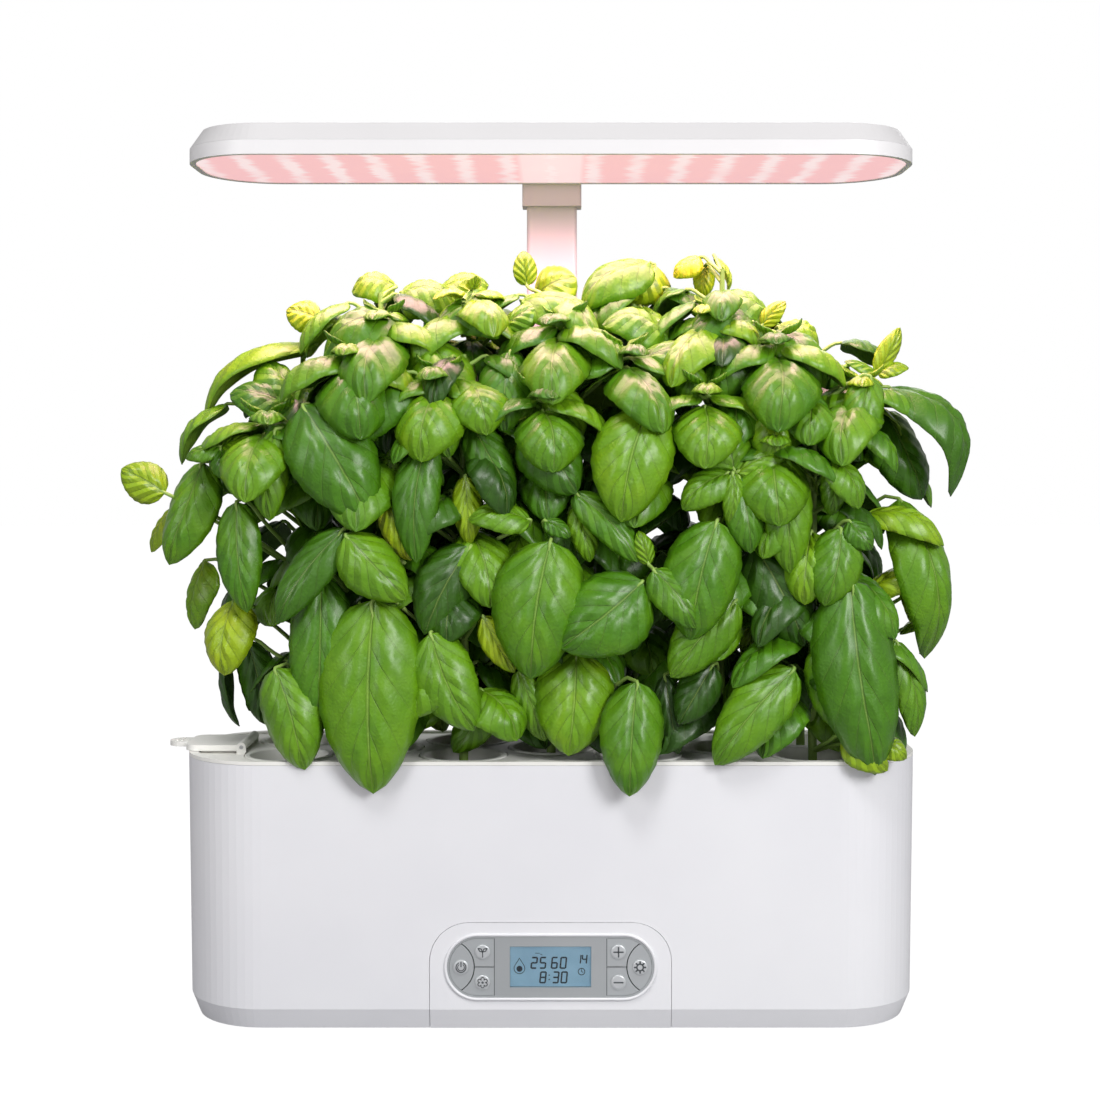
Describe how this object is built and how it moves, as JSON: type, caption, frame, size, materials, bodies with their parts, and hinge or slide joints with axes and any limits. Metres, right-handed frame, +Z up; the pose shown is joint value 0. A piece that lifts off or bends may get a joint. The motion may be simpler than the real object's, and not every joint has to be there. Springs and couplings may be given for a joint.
{
  "type": "countertop hydroponic garden",
  "caption": "Countertop hydroponic garden: water tank with lift-off grow deck, net cups with basil, control panel, pump, and a grow lamp on a telescopic mast.",
  "frame": {"origin": "centre of the tank's footprint, on the surface that the rubber feet stand on", "axes": "+Z up, -Y towards the control panel at the front, +X to the right seen from the front; the filler flap is at -X and the mast at +Y"},
  "size_m": [0.4425, 0.1424, 0.4581],
  "materials": {
    "white_abs": "satin",
    "deck_abs": "satin",
    "silver_panel": "satin",
    "key_silver": "satin",
    "display": "gloss",
    "display_lens": "gloss",
    "board_green": "satin",
    "steel": "satin",
    "rubber": "matte",
    "black_plastic": "satin",
    "pump_grey": "satin",
    "float_foam": "matte",
    "cup_grey": "satin",
    "sponge": "matte",
    "basil_leaf": "glossy leaf",
    "diffuser": "frosted",
    "aluminium": "satin",
    "led": "gloss"
  },
  "bodies": {
    "base": {"tank_body": "white_abs", "rubber_feet": "rubber", "mast_sleeve": "white_abs", "sleeve_cap": "white_abs", "dc_inlet": "black_plastic", "control_cover": "white_abs", "control_bezel": "silver_panel", "lcd_module": "display", "lcd_lens": "display_lens", "circuit_board": "board_green", "board_screws": "steel", "pump_body": "pump_grey", "pump_filter": "pump_grey", "return_tube": "pump_grey", "float_stem": "white_abs"},
    "deck": {"grow_deck": "deck_abs", "flap_pin": "steel", "grow_plugs": "sponge", "net_cup_1": "cup_grey", "net_cup_2": "cup_grey", "net_cup_3": "cup_grey", "net_cup_4": "cup_grey", "net_cup_5": "cup_grey", "net_cup_6": "cup_grey", "net_cup_7": "cup_grey", "net_cup_8": "cup_grey", "net_cup_9": "cup_grey", "net_cup_10": "cup_grey", "net_cup_11": "cup_grey", "basil_1": "basil_leaf", "basil_2": "basil_leaf", "basil_3": "basil_leaf", "basil_4": "basil_leaf", "basil_5": "basil_leaf", "basil_6": "basil_leaf", "basil_7": "basil_leaf", "basil_8": "basil_leaf", "basil_9": "basil_leaf"},
    "flap": {"fill_flap": "white_abs"},
    "lamp": {"mast_post": "white_abs", "lamp_collar": "white_abs", "lamp_frame": "white_abs", "lamp_top_shell": "white_abs", "lamp_diffuser": "diffuser", "led_board": "aluminium", "led_chips": "led", "lamp_screws": "steel"},
    "power_key": {"power_button": "key_silver"},
    "seedling_key": {"seedling_button": "key_silver"},
    "bloom_key": {"bloom_button": "key_silver"},
    "plus_key": {"plus_button": "key_silver"},
    "minus_key": {"minus_button": "key_silver"},
    "light_key": {"light_button": "key_silver"},
    "impeller": {"pump_impeller": "white_abs"},
    "float": {"level_float": "float_foam"}
  },
  "joints": [
    {"name": "deck_lift", "type": "slide", "parent": "base", "child": "deck", "axis": [0, 0, 1], "range_m": [0, 0.03]},
    {"name": "flap_hinge", "type": "hinge", "parent": "deck", "child": "flap", "pos_m": [-0.16, -0.0025, 0.1382], "axis": [0, 1, 0], "range_deg": [0, 60]},
    {"name": "lamp_height", "type": "slide", "parent": "base", "child": "lamp", "axis": [0, 0, 1], "range_m": [-0.03, 0.06]},
    {"name": "power_press", "type": "slide", "parent": "base", "child": "power_key", "axis": [0, 1, 0], "range_m": [0, 0.0006], "stiffness_N_per_m": 400},
    {"name": "seedling_press", "type": "slide", "parent": "base", "child": "seedling_key", "axis": [0, 1, 0], "range_m": [0, 0.0006], "stiffness_N_per_m": 400},
    {"name": "bloom_press", "type": "slide", "parent": "base", "child": "bloom_key", "axis": [0, 1, 0], "range_m": [0, 0.0006], "stiffness_N_per_m": 400},
    {"name": "plus_press", "type": "slide", "parent": "base", "child": "plus_key", "axis": [0, 1, 0], "range_m": [0, 0.0006], "stiffness_N_per_m": 400},
    {"name": "minus_press", "type": "slide", "parent": "base", "child": "minus_key", "axis": [0, 1, 0], "range_m": [0, 0.0006], "stiffness_N_per_m": 400},
    {"name": "light_press", "type": "slide", "parent": "base", "child": "light_key", "axis": [0, 1, 0], "range_m": [0, 0.0006], "stiffness_N_per_m": 400},
    {"name": "impeller_spin", "type": "hinge", "parent": "base", "child": "impeller", "pos_m": [0.115, 0, 0.0186], "axis": [1, 0, 0], "continuous": true},
    {"name": "float_rise", "type": "slide", "parent": "base", "child": "float", "axis": [0, 0, 1], "range_m": [-0.03, 0.012]}
  ]
}
